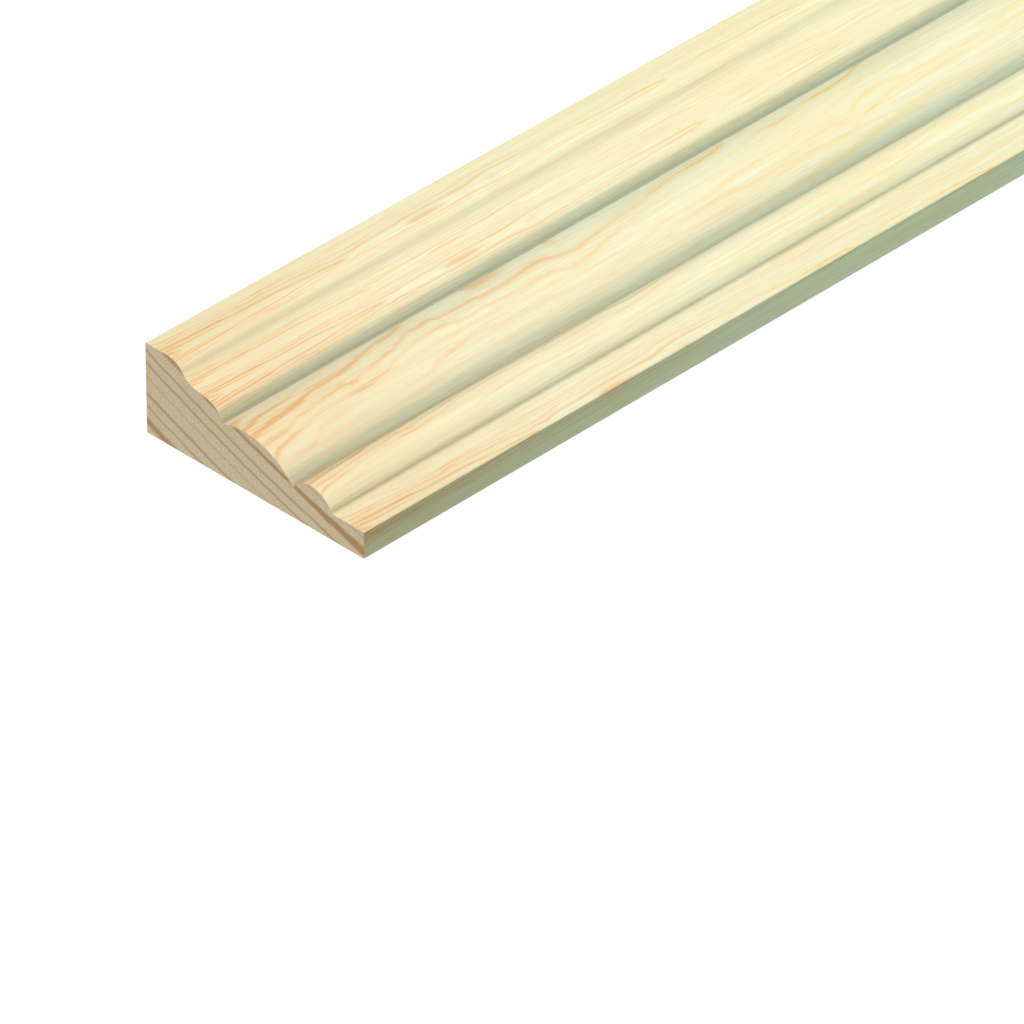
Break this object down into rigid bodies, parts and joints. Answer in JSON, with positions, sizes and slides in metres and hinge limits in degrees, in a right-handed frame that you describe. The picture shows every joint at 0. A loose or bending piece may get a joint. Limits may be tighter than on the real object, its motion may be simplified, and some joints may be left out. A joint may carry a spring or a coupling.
{
  "type": "barrel moulding",
  "caption": "Length of pine barrel moulding: flat back, square thick edge, ogee, broad round barrel, small bead and a thin square edge.",
  "frame": {"origin": "centre of the flat back, halfway along the length and across the width", "axes": "X along the length, +Y towards the square thick edge, +Z out of the moulded face, back on Z = 0"},
  "size_m": [2.4, 0.034, 0.012],
  "materials": {
    "pine": "bare planed softwood, unsealed"
  },
  "bodies": {
    "root": {"moulding": "pine"}
  },
  "joints": []
}
